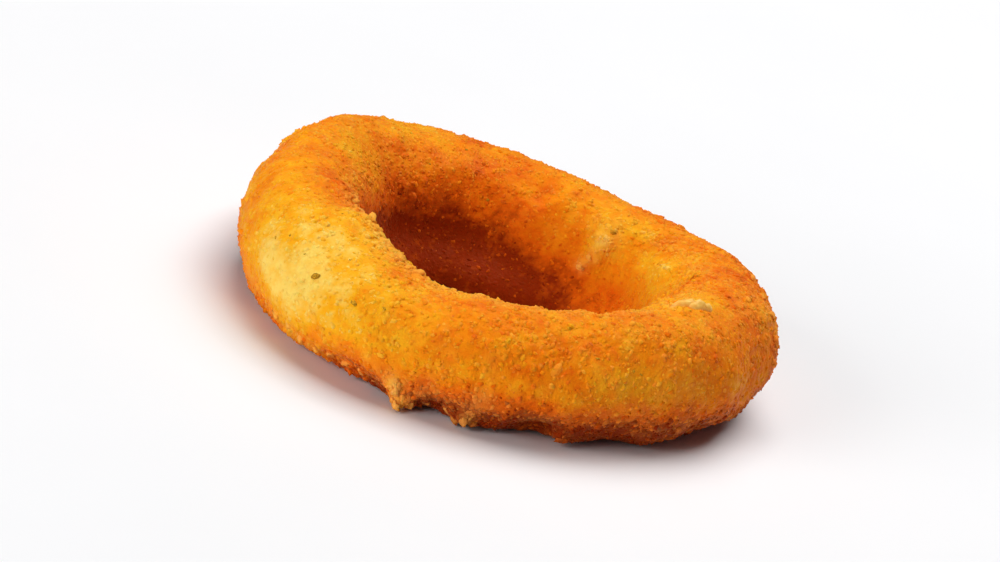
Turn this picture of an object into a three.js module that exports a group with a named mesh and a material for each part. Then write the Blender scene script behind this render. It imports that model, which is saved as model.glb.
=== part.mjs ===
// A breadcrumbed onion ring, fried golden, lying flat. One solid, in millimetres, +Z up.
//
// The solid is a torus whose size changes as it goes round. Two angles, in degrees, name every
// place on it. The ring angle runs anticlockwise round the hole, from +X. The tube angle runs
// round the section: 0 faces outwards, 90 is the crown, 180 faces the hole, 270 is underneath.

import * as THREE from 'three';
import { ImprovedNoise } from 'three/addons/math/ImprovedNoise.js';
import { mergeVertices } from 'three/addons/utils/BufferGeometryUtils.js';

// Each uneven size is a mean and a few waves round the ring. A wave makes `turns` full swings
// in one lap, swings by `swing` millimetres either way, and has a crest at ring angle `crest`.
const CENTRE_RADIUS = {
	mean: 26,
	waves: [
		{ turns: 2, swing: 0.27, crest: - 26 },
		{ turns: 3, swing: 0.76, crest: 11 },
		{ turns: 4, swing: 0.33, crest: 35 },
	],
};
const HALF_WIDTH = {
	mean: 7.75,
	waves: [
		{ turns: 1, swing: 0.27, crest: 150 },
		{ turns: 2, swing: 0.21, crest: 21 },
		{ turns: 3, swing: 0.71, crest: - 3 },
	],
};
const HALF_HEIGHT = {
	mean: 7.95,
	waves: [
		{ turns: 2, swing: 0.56, crest: - 11 },
		{ turns: 3, swing: 0.06, crest: - 54 },
	],
};
const UNDERSIDE_RISE = {
	mean: 0,
	waves: [
		{ turns: 2, swing: 0.1, crest: - 41 },
		{ turns: 3, swing: 0.18, crest: - 52 },
	],
};
const UNDERSIDE_FLAT = 0.6; // how much of the round underside is pressed flat

// The wall of the hole stands upright on a square foot. Elsewhere the section is an ellipse,
// whose exponent is 2. A higher exponent squares a corner. The foot spreads into the hole.
const FOOT = { tube: 225, width: 24, exponent: 12 };
const FOOT_SPREAD = {
	mean: 3,
	waves: [
		{ turns: 1, swing: 2.8, crest: 122 },
	],
};

// The crust's relief: broad lumps all over, and crags, which are higher near the crag lines.
const LUMP = { size: 10, height: 0.95 };
const CRAG = { size: 3.4, height: 1.5, floor: 0.12, calm: 0.4 };
const CRAG_LINES = [ 128, 305 ]; // tube angles: the lip of the hole, and the lower outer edge
const CRAG_LINE_WIDTH = 30; // degrees from a crag line to where the crust is calm again

// Single bits of crust that stand out, or dents where one has come off (a height below 0).
const BITS = [
	// The torn lower edge at the front.
	{ ring: 218, tube: 324, height: - 0.6, width: 3.0 },
	{ ring: 232, tube: 320, height: 0.3, width: 1.6 },
	{ ring: 243, tube: 318, height: - 1.0, width: 3.0 },
	{ ring: 249, tube: 314, height: - 0.7, width: 2.2 },
	{ ring: 255, tube: 328, height: 0.6, width: 1.4 },
	{ ring: 259, tube: 313, height: 2.5, width: 1.7 },
	{ ring: 265, tube: 308, height: - 0.8, width: 1.5 },
	{ ring: 271, tube: 300, height: 1.6, width: 2.0 },
	{ ring: 271, tube: 340, height: 0.6, width: 1.6 },
	{ ring: 278, tube: 336, height: 0.5, width: 1.8 },
	{ ring: 275, tube: 318, height: - 0.5, width: 2.0 },
	{ ring: 285, tube: 313, height: - 1.0, width: 2.2 },
	{ ring: 289, tube: 303, height: - 1.5, width: 2.0 },
	{ ring: 297, tube: 302, height: 1.3, width: 1.9 },
	{ ring: 303, tube: 294, height: 0.8, width: 2.4 },
	// The lip of the hole.
	{ ring: 199, tube: 122, height: 0.8, width: 1.4 },
	{ ring: 211, tube: 118, height: 0.7, width: 1.4 },
	{ ring: 222, tube: 113, height: 1.2, width: 3.1 },
	{ ring: 234, tube: 112, height: 0.4, width: 2.4 },
	{ ring: 247, tube: 108, height: 0.5, width: 1.4 },
	{ ring: 58, tube: 147, height: 0.6, width: 1.6 },
	{ ring: 55, tube: 164, height: 0.7, width: 1.5 },
	{ ring: 60, tube: 179, height: 0.7, width: 1.7 },
	{ ring: 85, tube: 129, height: - 0.7, width: 1.7 },
	{ ring: 44, tube: 186, height: - 0.6, width: 2.0 },
	// The crown.
	{ ring: 329, tube: 95, height: 0.4, width: 1.5 },
	{ ring: 334, tube: 89, height: 0.5, width: 1.6 },
	{ ring: 359, tube: 56, height: 0.7, width: 1.8 },
	{ ring: 152, tube: 76, height: 0.5, width: 2.6 },
	{ ring: 155, tube: 48, height: - 0.5, width: 4.0 },
	{ ring: 62, tube: 75, height: - 0.6, width: 3.0 },
	// The back.
	{ ring: 130, tube: 318, height: 1.1, width: 2.2 },
	{ ring: 112, tube: 345, height: - 0.7, width: 2.4 },
	{ ring: 84, tube: 322, height: 0.9, width: 2.0 },
	{ ring: 20, tube: 310, height: 1.0, width: 1.9 },
	{ ring: 172, tube: 306, height: 1.1, width: 2.0 },
	{ ring: 343, tube: 302, height: - 0.8, width: 2.2 },
];

const RING_STEPS = 128;
const TUBE_STEPS = 40;
const CRUST_COLOUR = 0xd98a2c;

const noise = new ImprovedNoise();
const radians = THREE.MathUtils.degToRad;

/** An uneven size at a ring angle in radians. */
function sizeAt( { mean, waves }, ring ) {

	const swings = waves.map( ( w ) => w.swing * Math.cos( w.turns * ( ring - radians( w.crest ) ) ) );
	return swings.reduce( ( sum, swing ) => sum + swing, mean );

}

/** The vector that is `out` away from the ring's axis at a ring angle in radians, and `up` high. */
function fromAxis( ring, out, up ) {

	return new THREE.Vector3( out * Math.cos( ring ), out * Math.sin( ring ), up );

}

/** A soft bump: 1 where it is centred, and close to 0 twice `width` away. */
function bump( away, width ) {

	return Math.exp( - ( ( away / width ) ** 2 ) );

}

/** The turn in radians, at most half a lap either way, from an angle in degrees to one in radians. */
function turnBetween( angle, degrees ) {

	const turn = angle - radians( degrees );
	return Math.atan2( Math.sin( turn ), Math.cos( turn ) );

}

/** How near a tube angle in radians is to the foot's corner: 1 on it, and 0 well away from it. */
function footness( tube ) {

	return bump( turnBetween( tube, FOOT.tube ), radians( FOOT.width ) );

}

/** How far the section reaches at a tube angle in radians, as a share of an ellipse's reach. */
function reachAt( tube ) {

	const exponent = 2 + ( FOOT.exponent - 2 ) * footness( tube );
	const sum = Math.abs( Math.cos( tube ) ) ** exponent + Math.abs( Math.sin( tube ) ) ** exponent;
	return sum ** ( - 1 / exponent );

}

/** The crust without relief at two angles in radians: a point, and the way out of the crust. */
function smoothCrust( ring, tube ) {

	const halfWidth = sizeAt( HALF_WIDTH, ring );
	const halfHeight = sizeAt( HALF_HEIGHT, ring );
	const reach = reachAt( tube );
	const spread = sizeAt( FOOT_SPREAD, ring ) * footness( tube );
	const out = sizeAt( CENTRE_RADIUS, ring ) + reach * halfWidth * Math.cos( tube ) - spread;
	const middle = halfHeight + sizeAt( UNDERSIDE_RISE, ring ) - UNDERSIDE_FLAT;
	return {
		point: fromAxis( ring, out, middle + reach * halfHeight * Math.sin( tube ) ),
		normal: fromAxis( ring, halfHeight * Math.cos( tube ), halfWidth * Math.sin( tube ) ).normalize(),
	};

}

/** Noise from about -1 to 1 whose lumps are `size` millimetres apart. */
function noiseAt( point, size ) {

	return noise.noise( point.x / size, point.y / size, point.z / size );

}

/** How craggy the crust is at a tube angle in radians: 1 on a crag line, less away from it. */
function cragginess( tube ) {

	const width = radians( CRAG_LINE_WIDTH );
	const closeness = CRAG_LINES.map( ( line ) => bump( turnBetween( tube, line ), width ) );
	return CRAG.calm + ( 1 - CRAG.calm ) * Math.max( ...closeness );

}

/** The height that the single bits of crust add at a point. */
function bitsAt( point, bits ) {

	const heights = bits.map( ( bit ) => bit.height * bump( point.distanceTo( bit.centre ), bit.width ) );
	return heights.reduce( ( sum, height ) => sum + height, 0 );

}

/** The single bits, each with its centre on the smooth crust. */
function placedBits() {

	return BITS.map( ( bit ) => {

		const { point } = smoothCrust( radians( bit.ring ), radians( bit.tube ) );
		return { ...bit, centre: point };

	} );

}

/** The crust's whole relief at a point of the smooth crust, along its normal. */
function reliefAt( point, tube, bits ) {

	const lump = LUMP.height * noiseAt( point, LUMP.size );
	const crag = CRAG.height * Math.max( 0, noiseAt( point, CRAG.size ) - CRAG.floor );
	return lump + crag * cragginess( tube ) + bitsAt( point, bits );

}

/** A plain torus with its shared corners merged, so that it is one closed surface. */
function plainTorus() {

	const torus = new THREE.TorusGeometry( CENTRE_RADIUS.mean, HALF_WIDTH.mean, TUBE_STEPS, RING_STEPS );
	torus.deleteAttribute( 'normal' );
	torus.deleteAttribute( 'uv' );
	return mergeVertices( torus );

}

/** Moves each corner of a plain torus to its place on the crust, and none below the underside. */
function shapeCrust( geometry ) {

	const bits = placedBits();
	const corner = new THREE.Vector3();
	const { position } = geometry.attributes;
	for ( let i = 0; i < position.count; i ++ ) {

		corner.fromBufferAttribute( position, i );
		const ring = Math.atan2( corner.y, corner.x );
		const tube = Math.atan2( corner.z, Math.hypot( corner.x, corner.y ) - CENTRE_RADIUS.mean );
		const { point, normal } = smoothCrust( ring, tube );
		point.addScaledVector( normal, reliefAt( point, tube, bits ) );
		position.setXYZ( i, point.x, point.y, Math.max( 0, point.z ) );

	}

}

/** The whole ring, lying on z = 0 with the origin under the middle of its box. */
function ringGeometry() {

	const geometry = plainTorus();
	shapeCrust( geometry );
	geometry.computeBoundingBox();
	const middle = geometry.boundingBox.getCenter( new THREE.Vector3() );
	geometry.translate( - middle.x, - middle.y, 0 );
	geometry.computeVertexNormals();
	return geometry;

}

/** The finish of the fried crust: golden and matt. */
function crustMaterial() {

	return new THREE.MeshStandardMaterial( { color: CRUST_COLOUR, roughness: 0.75, metalness: 0 } );

}

const onionRing = new THREE.Mesh( ringGeometry(), crustMaterial() );
onionRing.name = 'onion_ring';

const part = new THREE.Group();
part.add( onionRing );

export default part;
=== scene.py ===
"""Dresses the frame of one fried onion ring: its breadcrumb crust, loose crumbs, flakes and herbs.

Two angles name a place on the ring, as in the frame. The ring angle runs anticlockwise round the
hole, from +X. The tube angle runs round the section: 0 faces outwards, 90 is the crown, 180 faces
the hole and 270 is underneath. The tables give angles in degrees and lengths in mm. Functions that
take arrays of angles take them in radians, and lengths are in metres where no name says mm.
"""

import math
import random
from collections import namedtuple

import bmesh
import bpy
import numpy as np
from bpy.props import FloatProperty, FloatVectorProperty, IntProperty, PointerProperty
from bpy.types import Operator, Panel, PropertyGroup
from mathutils import Euler, Matrix, Vector, noise
from mathutils.bvhtree import BVHTree


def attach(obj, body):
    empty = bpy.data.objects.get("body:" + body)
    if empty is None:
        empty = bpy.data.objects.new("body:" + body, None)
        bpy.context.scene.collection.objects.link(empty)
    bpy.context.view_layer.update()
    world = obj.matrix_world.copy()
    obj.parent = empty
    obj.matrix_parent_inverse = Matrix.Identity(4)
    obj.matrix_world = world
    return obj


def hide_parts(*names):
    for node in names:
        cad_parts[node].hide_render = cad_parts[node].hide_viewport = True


bl_info = {
    "name": "Fried Onion Ring",
    "version": (1, 0, 0),
    "blender": (4, 5, 0),
    "location": "View3D > Sidebar > Onion Ring",
    "description": "Adds the crust, crumbs and seasoning of a fried onion ring to its frame",
    "category": "Add Mesh",
}

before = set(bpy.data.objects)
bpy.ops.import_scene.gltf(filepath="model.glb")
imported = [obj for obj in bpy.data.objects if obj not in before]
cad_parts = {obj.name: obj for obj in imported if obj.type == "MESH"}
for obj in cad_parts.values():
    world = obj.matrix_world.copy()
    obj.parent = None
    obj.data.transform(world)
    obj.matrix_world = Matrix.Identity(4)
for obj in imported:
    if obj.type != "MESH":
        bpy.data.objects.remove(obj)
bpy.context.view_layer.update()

NODE = "onion_ring"
BODY = "root"
MM = 0.001
RING_AXIS = Vector((-1.27 * MM, -0.16 * MM, 0))  # the axis that the ring angles turn about
WELD = 0.002 * MM  # corners of the frame's triangles closer than this are one
PAIR_ANGLE = math.radians(60)  # the most that two triangles may bend or skew to make a quad
MOST_CRUMBS = 9900  # in one piece, at 20 triangles each
MOST_FLAKES = 2400  # at 80 triangles each, beside the chunks

# ---------------------------------------------------------------- where the crust is crumbly

# The lip of the hole: ring, tube, and how crumbly it is there, from 0 to 1.
LIP = (
    (0, 118, 0.3),
    (90, 122, 0.1),
    (165, 135, 0.1),
    (188, 133, 0.4),
    (200, 129, 1.0),
    (235, 115, 1.0),
    (270, 109, 0.8),
    (315, 112, 0.5),
)

# The lower edge: ring, and how crumbly it is there, from 0 to 1.
LOWER_EDGE = (
    (0, 0.9),
    (30, 0.7),
    (190, 0.7),
    (210, 1.0),
    (270, 1.0),
    (288, 0.4),
    (330, 0.4),
    (345, 0.9),
)

# Bands along the lip of the hole: how far above it, and the width, in degrees.
LIP_BAND = (0, 20)
LIP_CRUMBS_BAND = (0, 12)  # where most of its loose crumbs are
LIP_DRY_AND_RIM_LIT_BAND = (4, 14)  # where its crumbs are dry, partly a painted rim highlight

# Bands round the section: the tube angle in the middle, and the width, in degrees.
EDGE_BAND = (312, 30)  # the lower edge
EDGE_CRUMBS_BAND = (312, 24)  # where most of its loose crumbs are
EDGE_DRY_BAND = (330, 14)  # where its crumbs are dry
CALM_BAND = (195, 40)  # low in the hole, where few crumbs stuck
DARK_BAND = (200, 50)  # low in the hole, where little light gets in; crumbs there are painted less pale, painted shade
FAR_BAND = (118, 34)  # the shoulder of the hole, which is smooth at the back

# Where a share rises from 0 to 1: ranges of a noise, a height, or an angle's sine or cosine.
CRUMBLY_NOISE = (-0.35, 0.45)
SEASONED_NOISE = (-0.6, 0.5)
OFF_FLOOR = (0.5 * MM, 1.2 * MM)  # the height above the floor
FAR_BACK = (0.1, 0.6)  # the ring angle's sine
FAR_LEFT = (-0.6, 0.1)  # the ring angle's cosine, with its sign changed
SEASONED = (-0.1, 0.8)  # the tube angle's sine
OUT_FROM_UNDER = (-1.0, -0.4)  # the tube angle's sine; above it loose crumbs are in the light and show their own dryness: painted light
BELOW = (-0.05, 0.7)  # the tube angle's sine, with its sign changed
INSIDE_LOW = (-0.85, 0.2)  # the tube angle's sine, with its sign changed
INWARDS = (0.35, 1.0)  # the tube angle's cosine, with its sign changed

CRUMBLY_LEAST = 0.6  # between the bands
CRUMBLY_PATCH = 9 * MM  # the distance between its crumbly patches
CALM_LOW, CALM_FAR = 0.45, 0.5  # what the calm band and the shoulder at the back take off
SEASONED_PATCH = 7 * MM  # the distance between the patches that the seasoning fell on

# ---------------------------------------------------------------- how dry and how fried it is

DRY_BASE = 0.02  # all over
DRY_AND_RIM_LIT_LIP, DRY_EDGE = 0.3, 0.18  # what the lip and the lower edge add; on the lip partly a painted rim highlight
DRY_MOTTLE, DRY_PATCH = 0.12, 2.3 * MM  # its mottles: their strength and the distance between them
DRY_FAR = 0.7  # what the shoulder of the hole at the back takes off
FRIED_AND_SHADED_BELOW, PAINTED_SHADE_INSIDE = 0.5, 0.33  # what the lower side adds to the browning, partly fried darker and partly painted shade, and what the hole adds, painted shade
MOTTLES = ((8, 0.11), (3.2, 0.16), (1.7, 0.11))  # of the browning: distance in mm, and strength
MOTTLED_LEAST = 0.4  # how strong those are low in the hole

# ---------------------------------------------------------------- packed crumbs

CREVICE = 0.7  # how wide the gaps between them are, as a share of a crumb
CRUMB_TOP = 0.6  # how high they are on the whole, as a share of their height
CRUMB_UNEVEN = 0.5  # how far they differ in height
CRUMB_TILT = 0.6  # how far their tops tilt
CRUMB_LEVEL = 0.4  # how much of their height is below the level of the crust
OWN_SPREAD, TILT_SPREAD = 9.1, 5.7  # how unlike its neighbours each of them is
CRUMBS_SHIFT = Vector((3.7, 11.9, 7.3))  # from the crumbs of one seed to those of the next
NOISE_SHIFT = Vector((17.3, 5.1, 9.7))  # from the noise of one seed to that of the next
CRUMB_OWN, GRIT_OWN = 0.08, 0.05  # how far they differ in browning
CRUMB_TOP_PAINTED_LIGHT, GRIT_TOP_PAINTED_LIGHT = 0.08, 0.04  # how much paler their tops and browner their gaps are: painted light and painted shade
DRY_SHADED_GAPS, DRY_LIT_TOPS = 0.4, 0.9  # the share of dryness in the gaps, and how much more on the tops: painted shade in the gaps, painted light on the tops

# ---------------------------------------------------------------- loose bits

SHAPE_COUNT = 8  # how many shapes there are of each kind
SHAPE_TURN = (1, 2.1, 0.7)  # the turn from one shape to the next, in radians
SHAPE_APART = 5  # the distance in the noise from one shape to the next
SHAPE_LUMPS = 3.8  # how fine their lumps are
SHAPE_NARROWEST, SHAPE_WIDER = 0.85, 0.06  # the first one's width, and how much wider the next is

# Where loose crumbs are wanted: anywhere, how much more on their line, and more on the upper half.
PALE_WANTED = (0.2, 3.2, 0.3)
BROWN_WANTED = (0.25, 2.4)

CRUMB_SKEW = 2.0  # how much rarer the large ones are
CRUMB_SIDES = ((0.8, 1.3), (0.7, 1.0), (0.8, 1.1))  # shares of the size
CRUMB_LEAN = 0.5  # in radians
BROWNING_DIFFERS, DRYNESS_DIFFERS = 0.06, 0.07  # from one loose crumb to the next

CHUNK_PALER, FLAKE_PALER = 0.06, 0.03  # than the crust
FLAKE_LENGTH = (1.0, 1.9)  # in mm
FLAKE_WIDTH = (0.5, 0.8)  # shares of the length
FLAKE_HEIGHT = (0.35, 0.5)  # in mm
FLAKE_SUNK = 0.12  # in mm
FLAKE_DRYNESS = (0.0, 0.3)

HERB_LENGTH = (0.25, 0.6)  # in mm
HERB_WIDTH = (0.5, 0.9)  # shares of the length
HERB_THICK = 0.12  # in mm
HERB_LEAN = 0.3  # in radians
CLEAR_HERB_WIDTH, CLEAR_HERB_THICK = 0.7, 0.15  # of the flecks that can be told apart

# ---------------------------------------------------------------- single places

# Spots darker (above 0) and paler (below 0): ring, tube, width, amount. Some are where it fried
# darker or stayed paler; those marked below are painted light and painted shade.
TOASTED_AND_PAINTED_LIGHT_SPOTS = (
    # The pale face at the left; below it, painted light on the shaded underside.
    (228, 35, 10.0, -0.46),
    (212, -45, 8.0, -0.25),
    (229, -46, 6.0, -0.2),
    (243, -46, 4.0, -0.15),
    (249, 14, 5.0, -0.1),
    # The crown.
    (125, 80, 4.5, -0.16),
    (246, 80, 4.0, 0.2),
    (236, 98, 3.0, 0.1),
    (198, 98, 3.4, 0.1),
    (205, 112, 5.0, 0.08),
    (20, 70, 8.0, 0.12),
    (55, 72, 8.0, 0.14),
    (332, 105, 6.0, -0.12),
    (358, 55, 2.6, -0.1),
    # The front and the outer end at the right, darker: partly painted shade.
    (288, 0, 8.0, 0.07),
    (320, 60, 8.0, 0.07),
    (332, 44, 8.0, 0.09),
    (356, 10, 9.0, 0.12),
    (2, 38, 8.0, 0.12),
    # The shoulder of the hole at the back.
    (135, 118, 4.5, 0.1),
    (160, 108, 7.0, -0.12),
    (85, 129, 2.2, 0.2),
    (86, 150, 2.6, 0.1),
    (100, 134, 7.0, 0.19),
    (60, 148, 6.0, -0.1),
    # Low in the hole: painted shade where darker, painted light where paler.
    (180, 150, 8.0, 0.14),
    (150, 160, 8.0, 0.1),
    (120, 175, 9.0, 0.1),
    (75, 158, 8.0, -0.1),
    (28, 178, 8.0, -0.24),
    (38, 205, 6.0, -0.22),
    # The wall of the hole at the right, round its pale ridge.
    (56, 145, 2.4, -0.28),
    (48, 117, 1.8, -0.14),
    (39, 135, 1.8, -0.14),
    (28, 150, 2.2, -0.12),
    (52, 186, 1.8, -0.12),
    (48, 134, 2.2, 0.2),
    (38, 116, 2.6, 0.2),
    (67, 125, 2.2, 0.14),
    (65, 160, 3.0, 0.1),
    (32, 170, 1.8, 0.16),
    (42, 188, 2.2, 0.16),
    # The torn lower edge.
    (252, -45, 3.0, 0.12),
    (264, -38, 3.0, 0.16),
    (280, -38, 6.0, 0.2),
    (256, 335, 1.3, -0.3),
    (257, 326, 1.3, -0.4),
    (259, 317, 1.5, -0.4),
    (273, 318, 1.2, -0.16),
)

# Places where the crumb took up little fat: ring, tube, width, amount from 0 to 1.
DRY_SPOTS = (
    # The torn lower edge.
    (255.5, 342, 0.8, 0.5),
    (256.5, 334, 0.9, 0.8),
    (257.5, 326, 0.9, 0.8),
    (259, 317, 1.1, 0.6),
    (273, 320, 1.0, 0.4),
    (274, 346, 1.6, 0.3),
    # The front and the outer end at the right.
    (318, 12, 8.0, 0.08),
    (3, 42, 5.0, 0.2),
    # The pale ridge on the wall of the hole.
    (58, 131, 1.5, 0.2),
    (55, 143, 1.7, 0.35),
    (54, 154, 1.2, 0.45),
    (56, 167, 0.9, 0.6),
    (59, 180, 0.9, 0.8),
)

# Lumps of the crust (above 0) and dents (below 0): ring, tube, width, height.
NUBS = (
    # The torn lower edge.
    (256, 336, 0.8, 0.5),
    (258, 322, 0.9, 0.7),
    (262, 318, 0.9, -0.5),
    (266, 312, 0.8, -0.4),
    (272, 318, 0.9, 0.6),
    (274, 338, 1.0, 0.4),
    (280, 334, 1.0, 0.3),
    (278, 322, 1.2, -0.4),
    (291, 306, 1.0, -0.5),
    (294, 308, 1.2, 0.5),
    (235, 330, 1.0, 0.3),
    # The pale ridge on the wall of the hole.
    (58, 132, 1.6, 0.3),
    (54, 151, 1.4, 0.5),
    (55, 163, 1.0, 0.4),
    (58, 177, 0.9, 0.6),
    (53, 208, 0.8, 0.4),
    # The foot of the wall at the back.
    (97, 213, 3.0, 0.7),
    (104, 213, 3.0, 0.9),
    (112, 213, 3.0, 0.7),
    # The outer end at the right.
    (350, 8, 9.0, -0.35),
    # The dents beside the ridge.
    (49, 170, 1.0, -0.4),
    (64, 165, 1.5, -0.4),
)

# Chunks of crumb that can be told apart: ring, tube, length along the ring, width across it,
# height, turn in degrees, and how dry they are, from 0, soaked in fat, to 1.
CHUNKS = (
    # The torn lower edge.
    (257, 332, 0.8, 1.6, 0.7, 5, 1.0),
    (258, 322, 1.0, 1.4, 0.9, 10, 0.9),
    (260, 315, 1.4, 1.1, 1.0, 40, 0.7),
    (263, 311, 0.9, 0.8, 0.7, 0, 0.5),
    (268, 314, 1.0, 0.8, 0.7, 0, 0.7),
    (272, 318, 0.9, 1.4, 0.7, 5, 0.6),
    (270, 309, 1.3, 1.0, 0.8, 30, 0.4),
    (274, 312, 1.0, 0.9, 0.7, 60, 0.3),
    (251, 318, 1.0, 0.9, 0.7, 50, 0.4),
    (248, 325, 1.1, 0.9, 0.8, 0, 0.7),
    (244, 324, 1.4, 1.0, 0.9, 20, 0.6),
    (240, 328, 1.2, 1.0, 0.8, 40, 0.7),
    (237, 328, 1.3, 1.0, 0.9, 70, 0.6),
    (233, 331, 1.4, 1.0, 0.9, 20, 0.7),
    (229, 333, 1.2, 1.0, 0.8, 60, 0.5),
    (224, 331, 1.3, 1.0, 0.8, 10, 0.6),
    (295, 306, 1.4, 1.0, 0.7, 20, 0.1),
    # The lip of the hole.
    (199, 124, 1.4, 1.1, 1.0, 30, 0.6),
    (203, 121, 1.2, 1.0, 0.9, 0, 0.5),
    (207, 120, 1.5, 1.1, 1.0, 40, 0.4),
    (212, 117, 1.4, 1.0, 1.1, 60, 0.6),
    (216, 116, 1.2, 1.0, 0.9, 10, 0.4),
    (221, 113, 1.5, 1.1, 1.1, 0, 0.6),
    (226, 112, 1.3, 1.0, 0.9, 70, 0.5),
    (232, 111, 1.5, 1.1, 1.1, 30, 0.6),
    (239, 110, 1.3, 1.0, 1.0, 0, 0.5),
    (247, 108, 1.5, 1.1, 1.1, 50, 0.5),
    (256, 107, 1.2, 1.0, 0.8, 20, 0.4),
    (267, 106, 1.3, 1.0, 0.8, 80, 0.4),
    # The pale ridge on the wall of the hole.
    (57, 168, 0.9, 0.8, 0.5, -12, 0.6),
    (59, 181, 1.0, 0.8, 0.6, 30, 0.8),
    # The foot of the wall at the back.
    (101.5, 207, 0.9, 0.9, 0.8, 0, 0.7),
    (99.5, 215, 0.8, 0.7, 0.7, 30, 0.7),
    (96, 215, 1.6, 1.4, 1.2, 10, 0.0),
    (100, 217, 1.9, 1.6, 1.4, 60, 0.1),
    (104, 216, 1.7, 1.5, 1.2, 30, 0.0),
    (108, 217, 1.5, 1.6, 1.3, 80, 0.0),
    # The outer end at the right.
    (21, 66, 1.2, 0.9, 0.7, 10, 0.3),
    (15, 64, 1.5, 1.0, 0.8, 20, 0.5),
    (7, 56, 1.2, 1.2, 0.8, 60, 0.4),
    (2, 45, 1.5, 1.0, 0.8, 0, 0.5),
    (359, 27, 1.2, 1.1, 0.8, 70, 0.3),
    (357, 9, 1.3, 1.1, 0.7, 10, 0.3),
)

# Flakes of pale, glossy batter: ring, tube, length, width, height, and turn in degrees.
PALE_FLAKES = (
    (331.8, 96, 3.0, 1.1, 1.5, -40),
    (334.4, 89, 3.2, 1.3, 2.0, -28),
    (337.2, 85, 2.0, 0.9, 1.6, -44),
)

# Herb flecks that can be told apart: ring, tube, width.
HERB_FLECKS = (
    (232, 26, 1.1),
    (243, 25, 0.9),
    (216, 26, 0.5),
    (219, 36, 0.5),
    (306, 34, 0.6),
    (249, 34, 0.5),
)

# ---------------------------------------------------------------- finish and stage

MOTTLE = 0.09  # how far the mottles of fried crumb change its browning
MOTTLE_NOISE = (0.25, 0.75)  # the part of the noise that they follow
SPECK = 0.06  # how much darker its specks are
SPECK_APART, SPECK_WIDTH = 1.4, 0.35  # as a share of the grain, and of the distance between them
DULL, OILY = 0.68, 0.4  # how rough its patches are
FAT_PATCH = 3.1 * MM  # the distance between them
FAT_NOISE = (0.35, 0.7)  # the part of the noise that they follow
ROUGH_SIZE, ROUGH_HEIGHT = 0.9 * MM, 0.24 * MM  # its bumps that are too fine for the mesh
FINE_SIZE, FINE_HEIGHT = 0.34 * MM, 0.05 * MM

# The finish of fried crumb, where it is the same all over.
FRIED_FINISH = {
    "Specular IOR Level": 0.06,
    "Specular Tint": (1.0, 0.6, 0.15, 1),
    "Sheen Weight": 0.13,
    "Sheen Roughness": 0.4,
    "Sheen Tint": (1.0, 0.62, 0.25, 1),
    "Subsurface Radius": (1.0, 0.5, 0.2),
}

AIM_HEIGHT = 7.35 * MM  # the middle of the tube, which the camera and the lights look at

# Soft square lights, 1 m from there: name, direction and height in degrees, width in m, power in W,
# and colour.
LIGHTS = (
    ("left", 229, 18.4, 0.5, 5.9, (1.0, 0.98, 0.95)),
    ("top", 75, 76, 0.9, 9.1, (1.0, 0.99, 0.97)),
    ("back", 60, 50, 0.5, 2.4, (1.0, 0.99, 0.98)),
)
SURROUND = 0.05  # the strength of the plain white surround
FLOOR_SIZE, FLOOR_SQUARES = 4, 8  # half the floor's width in m, and its squares each way
CAMERA_SEES = (0.01, 50)  # the nearest and the farthest, in m

# ---------------------------------------------------------------- settings


def length_property(name, description, default_mm):
    """A length that a user can change, given in millimetres and kept in metres."""
    return FloatProperty(name=name, description=description, default=default_mm * MM,
                         min=0, precision=5, subtype="DISTANCE", unit="LENGTH")


def angle_property(name, description, default):
    """An angle that a user can change, given in degrees and kept in radians."""
    return FloatProperty(name=name, description=description, default=math.radians(default),
                         subtype="ANGLE")


def colour_property(name, description, default):
    """A colour that a user can change, in linear light."""
    return FloatVectorProperty(name=name, description=description, default=default,
                               size=3, min=0, max=1, subtype="COLOR")


def share_property(name, description, default):
    """A share from 0 to 1 that a user can change."""
    return FloatProperty(name=name, description=description, default=default,
                         min=0, max=1, subtype="FACTOR")


def count_property(name, description, default, most=MOST_CRUMBS):
    """A number of loose bits that a user can change."""
    return IntProperty(name=name, description=description, default=default, min=0, max=most)


class CrustSettings(PropertyGroup):
    """The relief and browning of the crust itself."""

    smoothing: IntProperty(name="Smoothing", description="How often the frame's faces are divided",
                           default=2, min=0, max=2)
    crumb_size: length_property("Crumb size", "Distance between the crumbs set in the crust", 1.5)
    crumb_height: length_property("Crumb height", "How far those crumbs stand out", 0.4)
    grit_size: length_property("Grit size", "Distance between the finest crumbs", 0.8)
    grit_height: length_property("Grit height", "How far the finest crumbs stand out", 0.14)
    swell_size: length_property("Swell size", "Distance between the crust's soft swells", 4.5)
    swell_height: length_property("Swell height", "How far the swells stand out", 0.22)
    sunk: length_property("Sunk", "How deep the crust lies below the tips of its crumbs", 0.2)
    browning: share_property("Browning", "How far the crust is fried on the whole", 0.46)


class ColourSettings(PropertyGroup):
    """The colours of the crust, from the palest crumb to the darkest, and of what is on it."""

    straw: colour_property("Straw", "The palest crumbs", (0.98, 0.66, 0.13))
    yellow: colour_property("Yellow", "Lightly fried crust", (0.95, 0.43, 0.011))
    golden: colour_property("Golden", "Well fried crust", (0.92, 0.265, 0.005))
    brown: colour_property("Brown", "Hard fried crust", (0.8, 0.13, 0.003))
    # The dark colour is painted shade: the browning reaches it where shade is painted in, low in
    # the hole and below.
    dark: colour_property("Dark", "The deepest corners", (0.28, 0.022, 0.0015))
    # The dry colour also paints a rim highlight along the lip of the hole.
    dry: colour_property("Dry crumb", "Crumbs that took up little fat", (1.0, 0.44, 0.08))
    flake: colour_property("Pale flake", "Flakes of batter that hardly fried", (1.0, 0.6, 0.13))
    herb: colour_property("Herb", "Flecks of dried herb", (0.45, 0.22, 0.012))


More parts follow.
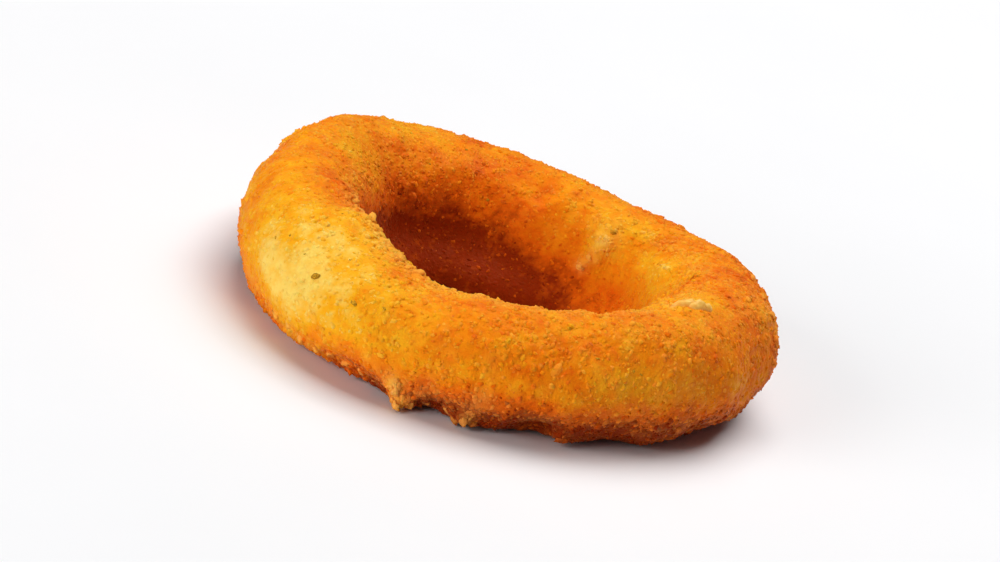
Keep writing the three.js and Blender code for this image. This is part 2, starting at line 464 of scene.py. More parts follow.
class CrumbSettings(PropertyGroup):
    """How many loose bits lie on the crust, and their sizes."""

    golden_count: count_property("Golden crumbs", "Crumbs of the crust's own colour", 9900)
    pale_count: count_property("Pale crumbs", "Crumbs paler than the crust", 8000)
    brown_count: count_property("Brown crumbs", "Crumbs darker than the crust", 4500)
    herb_count: count_property("Herb flecks", "Flecks of dried herb", 25)
    flake_count: count_property("Flakes", "Small flakes of batter", 60, most=MOST_FLAKES)
    smallest: length_property("Smallest crumb", "Width of the smallest crumb", 0.5)
    largest: length_property("Largest crumb", "Width of the largest crumb", 1.35)
    sunk: share_property("Sunk", "How deep a crumb's middle lies, as a share of its width", 0.24)
    proud: share_property("Proud", "How much less deep it lies along the edges", 0.12)


class StageSettings(PropertyGroup):
    """The camera and the floor."""

    elevation: angle_property("Elevation", "How steeply the camera looks down", 20.5)
    roll: angle_property("Roll", "How far the camera leans to its left", 18.36)
    distance: length_property("Distance", "From the camera to the middle of the tube", 700)
    lens: FloatProperty(name="Lens", description="Focal length in millimetres", default=208, min=20)
    floor: colour_property("Floor", "The plain floor", (0.92, 0.93, 0.96))


class OnionRingSettings(PropertyGroup):
    """Everything that can be changed."""

    crust: PointerProperty(type=CrustSettings)
    colours: PointerProperty(type=ColourSettings)
    crumbs: PointerProperty(type=CrumbSettings)
    stage: PointerProperty(type=StageSettings)


# ---------------------------------------------------------------- places on the ring


class TubeLine:
    """The middle of the tube at each ring angle, measured on the frame's ring."""

    STEPS = 72

    def __init__(self, points):
        ring, out = self.polar(points)
        step = np.floor((ring + math.pi) / math.tau * self.STEPS).astype(int) % self.STEPS
        count = np.bincount(step, minlength=self.STEPS)
        self.ring = (np.arange(self.STEPS) + 0.5) / self.STEPS * math.tau - math.pi
        self.out = np.bincount(step, out, self.STEPS) / count
        self.up = np.bincount(step, points[:, 2], self.STEPS) / count

    @staticmethod
    def polar(points):
        """Each point's ring angle and its distance from the ring's axis."""
        x, y = points[:, 0] - RING_AXIS.x, points[:, 1] - RING_AXIS.y
        return np.arctan2(y, x), np.hypot(x, y)

    def middle(self, ring):
        """How far out and how high the middle of the tube is at each ring angle."""
        out = np.interp(ring, self.ring, self.out, period=math.tau)
        return out, np.interp(ring, self.ring, self.up, period=math.tau)

    def angles(self, points):
        """Each point's ring angle and tube angle."""
        ring, out = self.polar(points)
        middle_out, middle_up = self.middle(ring)
        return ring, np.arctan2(points[:, 2] - middle_up, out - middle_out)

    def ray(self, ring, tube):
        """The middle of the tube at a ring angle in degrees, and the way out at a tube angle."""
        ring, tube = math.radians(ring), math.radians(tube)
        away = Vector((math.cos(ring), math.sin(ring), 0))
        out, up = self.middle(ring)
        start = RING_AXIS + away * out + Vector((0, 0, up))
        return start, away * math.cos(tube) + Vector((0, 0, math.sin(tube)))


def corners_of(mesh):
    """The places of a mesh's corners, as rows of x, y, z."""
    places = np.empty(len(mesh.vertices) * 3)
    mesh.vertices.foreach_get("co", places)
    return places.reshape(-1, 3)


def noise_at(points, size, seed=0):
    """Soft noise from about -1 to 1 at each point, with its swells `size` apart."""
    return np.array([noise.noise(Vector(p) / size + NOISE_SHIFT * seed) for p in points])


def crumbs_at(points, size, seed=0):
    """Packed crumbs `size` apart: their height, 0 in the gaps, and a number of each crumb's own.

    Each crumb has a flat top that tilts its own way and stands higher or lower than the next.
    """
    noise.seed_set(seed + 1)  # noise_vector is drawn anew in each session without it
    height = np.empty(len(points))
    own = np.empty(len(points))
    for index, point in enumerate(points):
        place = Vector(point) / size + CRUMBS_SHIFT * seed
        away, centres = noise.voronoi(place)
        own[index] = noise.noise(centres[0] * OWN_SPREAD)
        tilt = noise.noise_vector(centres[0] * TILT_SPREAD).dot(place - centres[0])
        gap = min(1, (away[1] - away[0]) / CREVICE)
        height[index] = gap * (CRUMB_TOP + CRUMB_UNEVEN * own[index] + CRUMB_TILT * tilt)
    return height, own


def ramp(values, low, high):
    """0 at `low` and below, 1 at `high` and above, and a straight line between."""
    return np.clip((values - low) / (high - low), 0, 1)


def bump(away, width):
    """A soft bump: 1 in its middle, and close to 0 twice `width` away."""
    return np.exp(-((away / width) ** 2))


def band(tube, middle, width):
    """A soft band round the section: 1 at `middle`, close to 0 twice `width` away, in degrees."""
    gap = tube - np.radians(middle)
    return bump(np.degrees(np.abs(np.arctan2(np.sin(gap), np.cos(gap)))), width)


def round_the_ring(table, column, ring):
    """A column of a table whose first column is a ring angle, read at each ring angle."""
    angles = [row[0] for row in table]
    return np.interp(np.degrees(ring), angles, [row[column] for row in table], period=360)


def near_lip(ring, tube, above, width):
    """How crumbly the lip of the hole makes the crust, in a band `above` degrees above it."""
    return round_the_ring(LIP, 2, ring) * band(tube, round_the_ring(LIP, 1, ring) - above, width)


def near_lower_edge(ring, tube, middle, width):
    """How crumbly the lower edge makes the crust, in a band round `middle`."""
    return round_the_ring(LOWER_EDGE, 1, ring) * band(tube, middle, width)


def edge_nearness(ring, tube):
    """1 where the lip of the hole and the lower edge are crumbly, and 0 well away from there."""
    lip = near_lip(ring, tube, *LIP_BAND)
    return np.maximum(lip, near_lower_edge(ring, tube, *EDGE_BAND))


def far_wall(ring, tube):
    """1 on the shoulder of the hole at the back, and 0 well away from it."""
    back = ramp(np.sin(ring), *FAR_BACK)
    return band(tube, *FAR_BAND) * back * ramp(-np.cos(ring), *FAR_LEFT)


def open_to_light(tube):
    """How open the crust is to light at each tube angle: 0 low in the hole, 1 well away from there.
    Crumbs are painted less dry, so less pale, where it is low: painted shade.
    """
    return 1 - band(tube, *DARK_BAND)


def crumbliness(points, ring, tube):
    """How crumbly the crust is: 1 at the lip of the hole and the lower edge, less between."""
    patches = ramp(noise_at(points, CRUMBLY_PATCH, seed=4), *CRUMBLY_NOISE)
    calm = np.maximum(CALM_LOW * band(tube, *CALM_BAND), CALM_FAR * far_wall(ring, tube))
    between = CRUMBLY_LEAST + (1 - CRUMBLY_LEAST) * patches
    return np.maximum(edge_nearness(ring, tube), between * (1 - calm))


def spots_at(points, spots, surface):
    """What a table of spots adds at each point. Its columns are ring, tube, width and amount."""
    added = np.zeros(len(points))
    for ring, tube, width, amount in spots:
        centre = place_on(surface, ring, tube)[0]
        added += amount * bump(np.linalg.norm(points - np.array(centre), axis=1), width * MM)
    return added


def dryness_and_painted_light_at(points, ring, tube, surface):
    """How dry, so how pale, the crumbs are at each point: most at the lip of the hole, partly a
    painted rim highlight there, and at the lower edge; less low in the hole, painted shade.
    """
    # Along the lip the dryness is partly a painted rim highlight.
    lines = np.maximum(DRY_AND_RIM_LIT_LIP * near_lip(ring, tube, *LIP_DRY_AND_RIM_LIT_BAND),
                       DRY_EDGE * near_lower_edge(ring, tube, *EDGE_DRY_BAND))
    dryness = DRY_BASE + lines + DRY_MOTTLE * noise_at(points, DRY_PATCH, seed=6)
    # Less dry low in the hole: painted shade.
    dryness *= open_to_light(tube) * (1 - DRY_FAR * far_wall(ring, tube))
    return dryness + spots_at(points, DRY_SPOTS, surface)


def browning_and_painted_light_at(points, ring, tube, surface):
    """How dark the crust's colour is at each point, 0 pale and 1 nearly burnt: how far it is fried,
    with painted shade and painted light added.
    """
    fried = bpy.context.scene.onion_ring.crust.browning
    # Darker on the lower side, partly fried so and partly painted shade; darker low in the hole:
    # painted shade.
    fried += FRIED_AND_SHADED_BELOW * ramp(-np.sin(tube), *BELOW)
    fried += PAINTED_SHADE_INSIDE * (ramp(-np.cos(tube), *INWARDS) * ramp(-np.sin(tube), *INSIDE_LOW))
    fried += spots_at(points, TOASTED_AND_PAINTED_LIGHT_SPOTS, surface)
    mottled = sum(strength * noise_at(points, size * MM, seed)
                  for seed, (size, strength) in enumerate(MOTTLES, start=1))
    shown = MOTTLED_LEAST + (1 - MOTTLED_LEAST) * open_to_light(tube)
    return np.clip(fried + mottled * shown, 0, 1)


def place_on(surface, ring, tube):
    """The point of the crust at two angles in degrees, and the way out of the crust there."""
    start, away = TUBE.ray(ring, tube)
    point, normal, _, _ = surface.ray_cast(start, away)
    if point is None:
        raise RuntimeError(f"no crust at ring {ring}, tube {tube}")
    return point, normal


TUBE = TubeLine(corners_of(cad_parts[NODE].data))


# ---------------------------------------------------------------- materials


class Nodes:
    """A material's nodes, made one by one and joined by name."""

    MIX_COLOUR, MIX_OTHER, MIX_RESULT = 6, 7, 2  # a Mix node's sockets for colours

    def __init__(self, name):
        self.material = bpy.data.materials.new(name)
        self.material.use_nodes = True
        self.tree = self.material.node_tree
        self.shader = self.tree.nodes["Principled BSDF"]
        self.place = self.new("ShaderNodeTexCoord").outputs["Object"]

    def new(self, kind, **values):
        """A new node, with its properties and the values of its sockets."""
        node = self.tree.nodes.new(kind)
        for key, value in values.items():
            if key in node.bl_rna.properties:
                setattr(node, key, value)
            else:
                node.inputs[key.replace("_", " ").title()].default_value = value
        return node

    def join(self, start, end):
        """Joins an output to an input."""
        self.tree.links.new(start, end)

    def finish(self, values):
        """Sets sockets of the shader by name."""
        for socket, value in values.items():
            self.shader.inputs[socket].default_value = value

    def noise(self, size, detail=2.0, roughness=0.5):
        """The output of a noise whose swells are `size` apart."""
        node = self.new("ShaderNodeTexNoise", scale=1 / size, detail=detail, roughness=roughness)
        self.join(self.place, node.inputs["Vector"])
        return node.outputs["Fac"]

    def cells(self, size):
        """The distance from the middle of the nearest of the cells that are `size` apart."""
        node = self.new("ShaderNodeTexVoronoi", scale=1 / size)
        self.join(self.place, node.inputs["Vector"])
        return node.outputs["Distance"]

    def attribute(self, name):
        """A number kept at the corners of the mesh."""
        return self.new("ShaderNodeAttribute", attribute_name=name).outputs["Fac"]

    def plus(self, first, second):
        """The sum of two outputs."""
        node = self.new("ShaderNodeMath", operation="ADD")
        self.join(first, node.inputs[0])
        self.join(second, node.inputs[1])
        return node.outputs[0]

    def spread(self, source, old, new):
        """An output with one range stretched to another, each a low and a high."""
        node = self.new("ShaderNodeMapRange")
        for socket, value in zip(("From Min", "From Max", "To Min", "To Max"), (*old, *new)):
            node.inputs[socket].default_value = value
        self.join(source, node.inputs["Value"])
        return node.outputs["Result"]

    def colours(self, source, stops):
        """Colours along an output: each stop is a place from 0 to 1 and a colour."""
        node = self.new("ShaderNodeValToRGB")
        elements = node.color_ramp.elements
        elements.remove(elements[1])
        for index, (place, colour) in enumerate(stops):
            element = elements[0] if index == 0 else elements.new(place)
            element.position = place
            element.color = (*colour, 1)
        self.join(source, node.inputs["Fac"])
        return node.outputs["Color"]

    def mix(self, share, colour, other):
        """A colour output mixed with another, plain colour by a share from 0 to 1."""
        node = self.new("ShaderNodeMix", data_type="RGBA")
        self.join(share, node.inputs["Factor"])
        self.join(colour, node.inputs[self.MIX_COLOUR])
        node.inputs[self.MIX_OTHER].default_value = (*other, 1)
        return node.outputs[self.MIX_RESULT]

    def bumps(self, *layers):
        """Bumps of one output after another, each with its height."""
        below = None
        for source, height in layers:
            node = self.new("ShaderNodeBump", distance=height)
            self.join(source, node.inputs["Height"])
            if below:
                self.join(below, node.inputs["Normal"])
            below = node.outputs["Normal"]
        self.join(below, self.shader.inputs["Normal"])


def shaded(colour, share):
    """A colour made darker or lighter by a share, or by one share for each of its parts."""
    return np.minimum(1, np.multiply(colour, share))


def fried_colours():
    """The crust's colours from pale to dark, by how far it is fried with the painted shade and
    light added.
    """
    colours = bpy.context.scene.onion_ring.colours
    return ((0.0, colours.straw), (0.25, colours.yellow), (0.5, colours.golden),
            (0.75, colours.brown), (1.0, colours.dark))


def fried_material(name, grain, glow, glow_depth):
    """Fried crumb: mottled colours, a fine broken grain, and dull fat in patches."""
    nodes = Nodes(name)
    mottle = nodes.spread(nodes.noise(grain, detail=3.0), MOTTLE_NOISE, (-MOTTLE, MOTTLE))
    specks = nodes.spread(nodes.cells(grain * SPECK_APART), (0.0, SPECK_WIDTH), (SPECK, 0.0))
    # The browning attribute holds painted shade and painted light as well as how far the crumb
    # fried.
    fried = nodes.plus(nodes.plus(nodes.attribute("browning"), mottle), specks)
    dry = bpy.context.scene.onion_ring.colours.dry
    colour = nodes.mix(nodes.attribute("dryness"), nodes.colours(fried, fried_colours()), dry)
    nodes.join(colour, nodes.shader.inputs["Base Color"])
    fat = nodes.spread(nodes.noise(FAT_PATCH), FAT_NOISE, (DULL, OILY))
    nodes.join(fat, nodes.shader.inputs["Roughness"])
    nodes.bumps((nodes.noise(ROUGH_SIZE, detail=3.0, roughness=0.6), ROUGH_HEIGHT),
                (nodes.cells(FINE_SIZE), FINE_HEIGHT))
    nodes.finish(FRIED_FINISH)
    nodes.finish({"Subsurface Weight": glow, "Subsurface Scale": glow_depth})
    return nodes.material


def simple_material(name, pattern_size, stops, finish, relief=None):
    """A material whose colours follow one noise. Its relief is another, of a size and height."""
    nodes = Nodes(name)
    nodes.join(nodes.colours(nodes.noise(pattern_size), stops), nodes.shader.inputs["Base Color"])
    if relief:
        size, height = relief
        nodes.bumps((nodes.noise(size), height))
    nodes.finish(finish)
    return nodes.material


def herb_material():
    """Dried herb: dull olive brown, lighter along its veins."""
    herb = bpy.context.scene.onion_ring.colours.herb
    stops = ((0.3, shaded(herb, 0.6)), (0.7, shaded(herb, 1.7)))
    finish = {"Roughness": 0.7, "Specular IOR Level": 0.06}
    return simple_material("dried_herb", 0.2 * MM, stops, finish, relief=(0.12 * MM, 0.05 * MM))


def flake_material():
    """Hardly fried batter: cream, smooth and glossy."""
    flake = bpy.context.scene.onion_ring.colours.flake
    stops = ((0.3, shaded(flake, (0.95, 0.7, 0.4))), (0.6, flake))
    finish = {"Roughness": 0.3, "Specular IOR Level": 0.15}
    return simple_material("pale_batter", 0.6 * MM, stops, finish, relief=(0.4 * MM, 0.08 * MM))


def floor_material():
    """A plain matt floor with the faintest unevenness."""
    floor = bpy.context.scene.onion_ring.stage.floor
    stops = ((0.3, shaded(floor, 0.985)), (0.7, floor))
    finish = {"Roughness": 0.6, "Specular IOR Level": 0.2}
    return simple_material("plain_floor", 40 * MM, stops, finish)


# ---------------------------------------------------------------- making pieces


def new_piece(name, mesh, material):
    """A finished piece of the ring, riding on its body."""
    mesh.materials.clear()
    mesh.materials.append(material)
    mesh.shade_smooth()
    piece = linked(name, mesh)
    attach(piece, BODY)
    return piece


def linked(name, data):
    """A new object with this data, in the scene."""
    thing = bpy.data.objects.new(name, data)
    bpy.context.scene.collection.objects.link(thing)
    return thing


def keep_number(mesh, name, values):
    """Keeps one number at each corner of a mesh."""
    layer = mesh.attributes.new(name, "FLOAT", "POINT")
    layer.data.foreach_set("value", np.asarray(values, np.float32))


def frame_ring():
    """The frame's ring as one closed mesh, with its pairs of triangles joined to quads."""
    bm = bmesh.new()
    bm.from_mesh(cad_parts[NODE].data)
    bmesh.ops.remove_doubles(bm, verts=bm.verts, dist=WELD)
    bmesh.ops.join_triangles(bm, faces=bm.faces, angle_face_threshold=PAIR_ANGLE,
                             angle_shape_threshold=PAIR_ANGLE)
    mesh = bpy.data.meshes.new("crust")
    bm.to_mesh(mesh)
    bm.free()
    return mesh


def divided(mesh, levels):
    """A finer, rounder copy of a mesh."""
    holder = linked("holder", mesh)
    smoother = holder.modifiers.new("rounding", "SUBSURF")
    smoother.levels = smoother.render_levels = levels
    evaluated = holder.evaluated_get(bpy.context.evaluated_depsgraph_get())
    finer = bpy.data.meshes.new_from_object(evaluated)
    bpy.data.objects.remove(holder)
    return finer


def crumb_crust(mesh):
    """Raises the crumbs of the crust, and keeps how fried and how dry each point is, with painted
    shade and painted light in both.
    """
    settings = bpy.context.scene.onion_ring.crust
    points = corners_of(mesh)
    normals = np.empty(points.size)
    mesh.vertex_normals.foreach_get("vector", normals)
    ring, tube = TUBE.angles(points)
    crumbs, crumb_own = crumbs_at(points, settings.crumb_size)
    grit, grit_own = crumbs_at(points, settings.grit_size, seed=1)
    crumb_up, grit_up = crumbs - CRUMB_LEVEL, grit - CRUMB_LEVEL
    height = settings.swell_height * noise_at(points, settings.swell_size, seed=5) - settings.sunk
    height += (settings.crumb_height * crumbliness(points, ring, tube) * crumb_up
               + settings.grit_height * grit_up)
    surface = surface_of(mesh)
    height += spots_at(points, NUBS, surface) * MM
    fried = browning_and_painted_light_at(points, ring, tube, surface)
    # Paler on the crumbs' tops and browner in their gaps: painted light and painted shade.
    fried += (CRUMB_OWN * crumb_own + GRIT_OWN * grit_own
              - CRUMB_TOP_PAINTED_LIGHT * crumb_up - GRIT_TOP_PAINTED_LIGHT * grit_up)
    points += normals.reshape(-1, 3) * height[:, None]
    points[:, 2] = np.maximum(points[:, 2], 0)
    mesh.vertices.foreach_set("co", points.ravel())
    mesh.update()
    # Drier, so paler, on the tops than in the gaps: painted light and painted shade.
    dryness = dryness_and_painted_light_at(points, ring, tube, surface) * (DRY_SHADED_GAPS + DRY_LIT_TOPS * crumbs)
    keep_number(mesh, "browning", fried)
    keep_number(mesh, "dryness", dryness)


def surface_of(mesh):
    """A mesh as a surface that rays can meet."""
    return BVHTree.FromPolygons([v.co for v in mesh.vertices], [p.vertices for p in mesh.polygons])


def crust_piece():
    """The crust, once it has been made."""
    crust = bpy.data.objects.get("crust")
    if crust is None:
        raise RuntimeError("the crust comes first")
    return crust


# ---------------------------------------------------------------- scattering

# One loose bit: which of the shapes it has, its matrix, and how fried and how dry it is, painted
# shade and light included.
Bit = namedtuple("Bit", "shape matrix browning dryness")

# One kind of crumb: how many, a seed for their places and shapes, the function that says where they
# are wanted, and how much more fried and how much drier they are than the crust.
CrumbKind = namedtuple("CrumbKind", "name count seed wanted browner drier")


def bit_shapes(seed, facets, flat, rough):
    """Some broken bits about 1 across: the corners of each, and the faces that they all share."""
    shapes = []
    for index in range(SHAPE_COUNT):
        bm = bmesh.new()
        bmesh.ops.create_icosphere(bm, subdivisions=facets, radius=0.5)
        turn = Euler([step * index for step in SHAPE_TURN]).to_matrix()
        for vert in bm.verts:
            place = turn @ vert.co * SHAPE_LUMPS + Vector((seed, index * SHAPE_APART, 0))
            vert.co *= 1 + rough * noise.noise(place)
            vert.co.x *= SHAPE_NARROWEST + SHAPE_WIDER * index
            vert.co.z *= flat
        shapes.append(np.array([v.co for v in bm.verts]))
        faces = np.array([[v.index for v in f.verts] for f in bm.faces])
        bm.free()
    return shapes, faces


def spots_on(mesh, count, seed, wanted):
    """Places spread over a mesh, more where `wanted` is higher: points and normals."""
    rng = np.random.default_rng(seed)
    corners = corners_of(mesh)
    mesh.calc_loop_triangles()
    triangles = np.empty(len(mesh.loop_triangles) * 3, int)
    mesh.loop_triangles.foreach_get("vertices", triangles)
    a, b, c = corners[triangles.reshape(-1, 3).T]
    cross = np.cross(b - a, c - a)
    area = np.linalg.norm(cross, axis=1)
    middle = (a + b + c) / 3
    weight = area * wanted(middle, *TUBE.angles(middle))
    chosen = rng.choice(len(area), size=count, p=weight / weight.sum())
    u, v = rng.random((2, count, 1))
    fold = u + v > 1
    u, v = np.where(fold, 1 - u, u), np.where(fold, 1 - v, v)
    points = a[chosen] + u * (b - a)[chosen] + v * (c - a)[chosen]
    return points, cross[chosen] / area[chosen, None]


def joined(name, shapes, faces, bits):
    """One mesh of many small bits."""
    corners = np.concatenate([
        shapes[bit.shape] @ np.array(bit.matrix.to_3x3()).T + np.array(bit.matrix.translation)
        for bit in bits])
    corners[:, 2] = np.maximum(corners[:, 2], 0)
    each = len(shapes[0])
    steps = np.arange(len(bits))[:, None, None] * each
    all_faces = (faces[None] + steps).reshape(-1, faces.shape[1])
    mesh = bpy.data.meshes.new(name)
    mesh.from_pydata(corners.tolist(), [], all_faces.tolist())
    keep_number(mesh, "browning", np.repeat([bit.browning for bit in bits], each))
    keep_number(mesh, "dryness", np.repeat([bit.dryness for bit in bits], each))
    return mesh


def lying(point, normal, spin, tilt, size):
    """The matrix of a bit that lies on the crust, spun from the ring's direction and tilted."""
    normal = Vector(normal)
    across = normal.cross(Vector((0, 0, 1)).cross(Vector(point) - RING_AXIS)).normalized()
    stand = Matrix((across.cross(normal), across, normal)).transposed()
    turn = stand @ Euler((*tilt, spin)).to_matrix() @ Matrix.Diagonal(Vector(size))
    return Matrix.Translation(point) @ turn.to_4x4()


def any_tilt(draw, most):
    """A tilt about two axes, at most `most` radians either way."""
    return draw.uniform(-most, most), draw.uniform(-most, most)


def scatter_crumbs(kind):
    """Crumbs half sunk in the crust, each a little paler or darker than what it lies on."""
    settings = bpy.context.scene.onion_ring.crumbs
    crust = crust_piece().data
    points, normals = spots_on(crust, kind.count, kind.seed, kind.wanted)
    ring, tube = TUBE.angles(points)
    surface = surface_of(crust)
    fried = browning_and_painted_light_at(points, ring, tube, surface) + kind.browner
    dry = dryness_and_painted_light_at(points, ring, tube, surface)
    growth = settings.largest - settings.smallest
    crumbly = crumbliness(points, ring, tube)
    depth = settings.sunk - settings.proud * edge_nearness(ring, tube)
    # Where light falls: out of the hole and not under the tube. Each kind's own dryness shows only
    # there, painted light, so pale crumbs are paler in the light than in the shade.
    light = open_to_light(tube) * ramp(np.sin(tube), *OUT_FROM_UNDER)
    shapes, faces = bit_shapes(kind.seed, facets=1, flat=0.75, rough=0.5)
    draw = random.Random(kind.seed)
    bits = []
    for i in range(kind.count):
        size = settings.smallest + growth * draw.random() ** CRUMB_SKEW * crumbly[i]
        tilt = any_tilt(draw, CRUMB_LEAN)
        sides = [size * draw.uniform(*shares) for shares in CRUMB_SIDES]
        centre = Vector(points[i]) - Vector(normals[i]) * size * depth[i]
        matrix = lying(centre, normals[i], draw.uniform(0, math.tau), tilt, sides)
        shape = draw.randrange(len(shapes))
        browning = fried[i] + draw.gauss(0, BROWNING_DIFFERS)
        drier = kind.drier + draw.gauss(0, DRYNESS_DIFFERS)
        bits.append(Bit(shape, matrix, browning, dry[i] + drier * light[i]))
    return joined(kind.name, shapes, faces, bits)


def off_floor(points):
    """1 for places above the flat underside, 0 for those on it."""
    return ramp(points[:, 2], *OFF_FLOOR)


def wanted_anywhere(points, ring, tube):
    """Everywhere that the crust shows."""
    return off_floor(points) * crumbliness(points, ring, tube)


def wanted_on_lip(points, ring, tube):
    """Mostly along the lip of the hole and on the upper half."""
    anywhere, on_lip, on_top = PALE_WANTED
    lip = near_lip(ring, tube, *LIP_CRUMBS_BAND)
    return off_floor(points) * (anywhere + on_lip * lip + on_top * ramp(np.sin(tube), 0, 1))


def wanted_low(points, ring, tube):
    """Mostly along the torn lower edge."""
    anywhere, on_edge = BROWN_WANTED
    edge = near_lower_edge(ring, tube, *EDGE_CRUMBS_BAND)
    return off_floor(points) * (anywhere + on_edge * edge)


def wanted_for_flakes(points, ring, tube):
    """As crumbs on the lip, but not low in the hole."""
    return wanted_on_lip(points, ring, tube) * open_to_light(tube)


def wanted_on_top(points, ring, tube):
    """The upper half, where seasoning falls and stays."""
    patches = ramp(noise_at(points, SEASONED_PATCH, seed=9), *SEASONED_NOISE)
    return ramp(np.sin(tube), *SEASONED) * patches


def laid_bit(surface, draw, angles, size, turn, browning=0, dryness=0):
    """One bit laid on the crust at two angles, its size in mm and its turn in degrees."""
    point, normal = place_on(surface, *angles)
    size = [length * MM for length in size]
    matrix = lying(point, normal, math.radians(turn), (0, 0), size)
    return Bit(draw.randrange(SHAPE_COUNT), matrix, browning, dryness)


def chunk_bits(surface, draw):
    """The chunks of crumb that can be told apart."""
    bits = []
    for ring, tube, length, width, height, turn, dryness in CHUNKS:
        point = np.array([place_on(surface, ring, tube)[0]])
        browning = browning_and_painted_light_at(point, *TUBE.angles(point), surface)[0] - CHUNK_PALER
        bits.append(laid_bit(surface, draw, (ring, tube), (length, width, height), turn,
                             browning, dryness))
    return bits


def flake_bits(surface, draw):
    """The small flakes of batter."""
    count = bpy.context.scene.onion_ring.crumbs.flake_count
    points, normals = spots_on(crust_piece().data, count, seed=43, wanted=wanted_for_flakes)
    fried = browning_and_painted_light_at(points, *TUBE.angles(points), surface)
    bits = []
    for point, normal, browning in zip(points, normals, fried):
        length = draw.uniform(*FLAKE_LENGTH) * MM
        size = (length, length * draw.uniform(*FLAKE_WIDTH), draw.uniform(*FLAKE_HEIGHT) * MM)
        centre = Vector(point) - Vector(normal) * FLAKE_SUNK * MM
        matrix = lying(centre, normal, draw.uniform(0, math.tau), (0, 0), size)
        bits.append(Bit(draw.randrange(SHAPE_COUNT), matrix, browning - FLAKE_PALER,
                        draw.uniform(*FLAKE_DRYNESS)))
    return bits


def herb_bits(surface, draw, points, normals):
    """The herb flecks that can be told apart, and one at each of some places."""
    bits = []
    for ring, tube, width in HERB_FLECKS:
        size = (width, width * CLEAR_HERB_WIDTH, CLEAR_HERB_THICK)
        bits.append(laid_bit(surface, draw, (ring, tube), size, draw.uniform(0, 360)))
    for point, normal in zip(points, normals):
        length = draw.uniform(*HERB_LENGTH) * MM
        size = (length, length * draw.uniform(*HERB_WIDTH), HERB_THICK * MM)
        tilt = any_tilt(draw, HERB_LEAN)
        matrix = lying(point, normal, draw.uniform(0, math.tau), tilt, size)
        bits.append(Bit(draw.randrange(SHAPE_COUNT), matrix, 0, 0))
    return bits


# ---------------------------------------------------------------- stage


def add_floor():
    """The floor that the ring lies on."""
    bm = bmesh.new()
    bmesh.ops.create_grid(bm, x_segments=FLOOR_SQUARES, y_segments=FLOOR_SQUARES, size=FLOOR_SIZE)
    mesh = bpy.data.meshes.new("floor")
    bm.to_mesh(mesh)
    bm.free()
    mesh.materials.append(floor_material())
    floor = linked("floor", mesh)


def add_camera(settings, aim):
    """The camera, in front of the ring and above it, leaning to its left."""
    away = Vector((0, -math.cos(settings.elevation), math.sin(settings.elevation)))
    level = Matrix((Vector((1, 0, 0)), Vector((0, away.z, -away.y)), away)).transposed()
    turn = level @ Matrix.Rotation(settings.roll, 3, "Z")
    data = bpy.data.cameras.new("camera")
    data.lens = settings.lens
    data.clip_start, data.clip_end = CAMERA_SEES
    camera = linked("camera", data)
    camera.matrix_world = Matrix.Translation(aim + away * settings.distance) @ turn.to_4x4()
    bpy.context.scene.camera = camera


def add_light(aim, name, around, above, size, power, colour):
    """A soft square light, 1 m away, that looks at the ring from a direction and a height."""
    around, above = math.radians(around), math.radians(above)
    level = math.cos(above)
    way = Vector((math.cos(around) * level, math.sin(around) * level, math.sin(above)))
    data = bpy.data.lights.new(name, "AREA")
    data.size = size
    data.energy = power
    data.color = colour
    turn = way.to_track_quat("Z", "Y").to_matrix().to_4x4()
    linked(name, data).matrix_world = Matrix.Translation(aim + way) @ turn


def add_world():
    """A plain white surround."""
    world = bpy.data.worlds.new("surround")
    world.use_nodes = True
    background = world.node_tree.nodes["Background"]
    background.inputs["Color"].default_value = (1, 1, 1, 1)
    background.inputs["Strength"].default_value = SURROUND
    bpy.context.scene.world = world


# ---------------------------------------------------------------- operators


class ONIONRING_OT_stage(Operator):
    """Adds the floor, the camera and the lights"""

    bl_idname = "onion_ring.stage"
    bl_label = "Stage"

    def execute(self, context):
        aim = RING_AXIS + Vector((0, 0, AIM_HEIGHT))
        add_floor()
        add_camera(context.scene.onion_ring.stage, aim)
        for light in LIGHTS:
            add_light(aim, *light)
        add_world()
        context.scene.view_settings.view_transform = "Standard"
        return {"FINISHED"}


class ONIONRING_OT_crust(Operator):
    """Makes the breadcrumb crust on the frame's ring"""

    bl_idname = "onion_ring.crust"
    bl_label = "Crust"

    def execute(self, context):
        mesh = divided(frame_ring(), context.scene.onion_ring.crust.smoothing)
        crumb_crust(mesh)
        material = fried_material("fried_crust", grain=1.1 * MM, glow=0.25, glow_depth=0.8 * MM)
        crust = new_piece("crust", mesh, material)
        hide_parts(NODE)
        return {"FINISHED"}


class ONIONRING_OT_crumbs(Operator):
    """Scatters golden, pale and brown crumbs over the crust"""

    bl_idname = "onion_ring.crumbs"
    bl_label = "Crumbs"

    def execute(self, context):
        counts = context.scene.onion_ring.crumbs
        kinds = (
            CrumbKind("golden_crumbs", counts.golden_count, 11, wanted_anywhere, 0.0, 0.0),
            CrumbKind("pale_crumbs", counts.pale_count, 23, wanted_on_lip, -0.03, 0.1),
            CrumbKind("brown_crumbs", counts.brown_count, 37, wanted_low, 0.06, -0.1),
        )
        for kind in kinds:
            mesh = scatter_crumbs(kind)
            material = fried_material(kind.name, grain=0.7 * MM, glow=0.3, glow_depth=0.2 * MM)
            new_piece(kind.name, mesh, material)
        return {"FINISHED"}


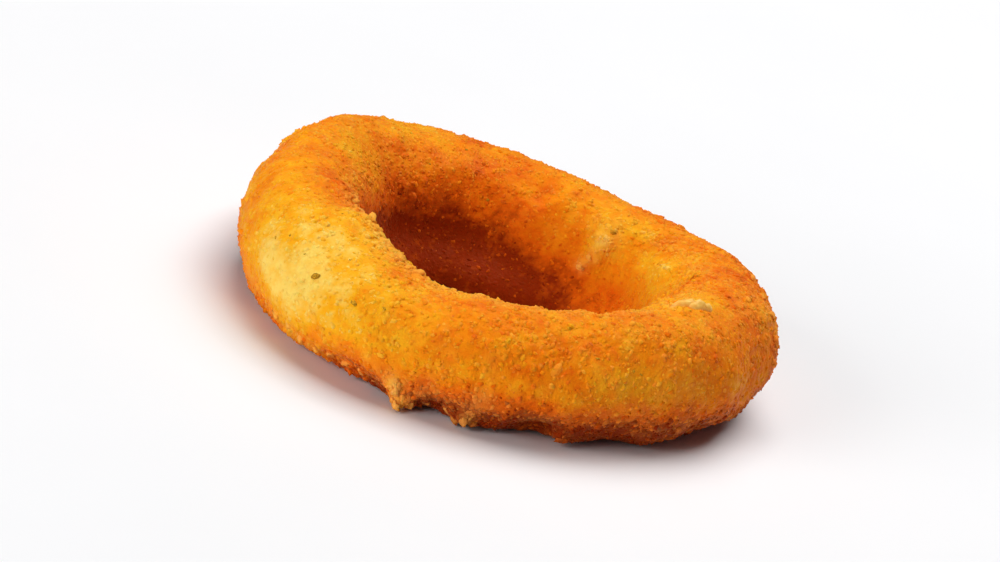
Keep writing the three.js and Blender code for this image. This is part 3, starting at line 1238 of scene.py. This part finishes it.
class ONIONRING_OT_flakes(Operator):
    """Sets chunks of crumb and flakes of batter in the crust"""

    bl_idname = "onion_ring.flakes"
    bl_label = "Chunks and flakes"

    def execute(self, context):
        surface = surface_of(crust_piece().data)
        draw = random.Random(41)
        bits = chunk_bits(surface, draw) + flake_bits(surface, draw)
        shapes, faces = bit_shapes(seed=5, facets=2, flat=1.0, rough=0.9)
        mesh = joined("batter_chunks", shapes, faces, bits)
        material = fried_material("batter_chunks", grain=0.9 * MM, glow=0.3, glow_depth=0.2 * MM)
        new_piece("batter_chunks", mesh, material)
        bits = [laid_bit(surface, draw, (ring, tube), size, turn)
                for ring, tube, *size, turn in PALE_FLAKES]
        shapes, faces = bit_shapes(seed=7, facets=2, flat=1.0, rough=0.5)
        mesh = joined("pale_flakes", shapes, faces, bits)
        new_piece("pale_flakes", mesh, flake_material())
        return {"FINISHED"}


class ONIONRING_OT_herbs(Operator):
    """Sets flecks of dried herb in the crust"""

    bl_idname = "onion_ring.herbs"
    bl_label = "Herb flecks"

    def execute(self, context):
        count = context.scene.onion_ring.crumbs.herb_count
        crust = crust_piece().data
        points, normals = spots_on(crust, count, seed=53, wanted=wanted_on_top)
        bits = herb_bits(surface_of(crust), random.Random(53), points, normals)
        shapes, faces = bit_shapes(seed=9, facets=1, flat=1.0, rough=0.6)
        mesh = joined("herb_flecks", shapes, faces, bits)
        new_piece("herb_flecks", mesh, herb_material())
        return {"FINISHED"}


# ---------------------------------------------------------------- panel and registering


class ONIONRING_PT_panel(Panel):
    """Lists the pieces of the onion ring and their settings"""

    bl_label = "Onion Ring"
    bl_idname = "ONIONRING_PT_panel"
    bl_space_type = "VIEW_3D"
    bl_region_type = "UI"
    bl_category = "Onion Ring"

    def draw(self, context):
        settings = context.scene.onion_ring
        for operator in OPERATORS:
            self.layout.operator(operator.bl_idname)
        for group in (settings.crust, settings.colours, settings.crumbs, settings.stage):
            box = self.layout.box()
            for name in group.bl_rna.properties.keys():
                if name not in ("rna_type", "name"):
                    box.prop(group, name)


OPERATORS = (
    ONIONRING_OT_stage,
    ONIONRING_OT_crust,
    ONIONRING_OT_crumbs,
    ONIONRING_OT_flakes,
    ONIONRING_OT_herbs,
)
CLASSES = (CrustSettings, ColourSettings, CrumbSettings, StageSettings, OnionRingSettings,
           *OPERATORS, ONIONRING_PT_panel)


def register():
    """Registers the settings, the operators and the panel."""
    for one in CLASSES:
        bpy.utils.register_class(one)
    bpy.types.Scene.onion_ring = PointerProperty(type=OnionRingSettings)


def unregister():
    """Takes back what register made."""
    del bpy.types.Scene.onion_ring
    for one in reversed(CLASSES):
        bpy.utils.unregister_class(one)


def main():
    """Makes every piece in order."""
    register()
    bpy.ops.onion_ring.stage()
    bpy.ops.onion_ring.crust()
    bpy.ops.onion_ring.crumbs()
    bpy.ops.onion_ring.flakes()
    bpy.ops.onion_ring.herbs()


if __name__ == "__main__":
    main()
